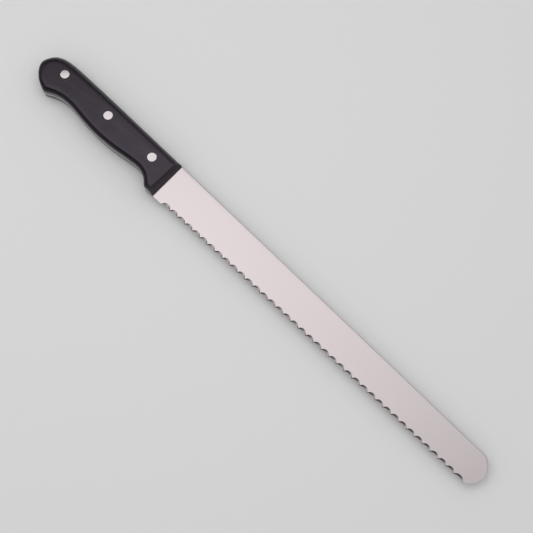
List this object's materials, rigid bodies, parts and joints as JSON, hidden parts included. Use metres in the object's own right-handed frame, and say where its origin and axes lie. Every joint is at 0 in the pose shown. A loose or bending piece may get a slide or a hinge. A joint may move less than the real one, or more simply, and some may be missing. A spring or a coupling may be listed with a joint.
{
  "type": "bread knife",
  "caption": "Long straight serrated bread knife with a round tip, a full-tang steel blade and a black riveted handle with a hooked butt.",
  "frame": {"origin": "middle of the bottom of the bounding box, on the plane that the left handle scale rests on", "axes": "+X along the blade to the tip, +Y across the blade to the spine, +Z out of the right side, from which the serrations are ground"},
  "size_m": [0.426, 0.03, 0.017],
  "materials": {
    "blade_steel": "satin-polished stainless steel",
    "rivet_steel": "polished flush with the handle",
    "black_composite": "satin, with softly rounded edges"
  },
  "bodies": {
    "root": {"blade": "blade_steel", "right_scale": "black_composite", "left_scale": "black_composite", "front_rivet_pin": "rivet_steel", "front_rivet_tube": "rivet_steel", "middle_rivet_pin": "rivet_steel", "middle_rivet_tube": "rivet_steel", "rear_rivet_pin": "rivet_steel", "rear_rivet_tube": "rivet_steel"}
  },
  "joints": []
}
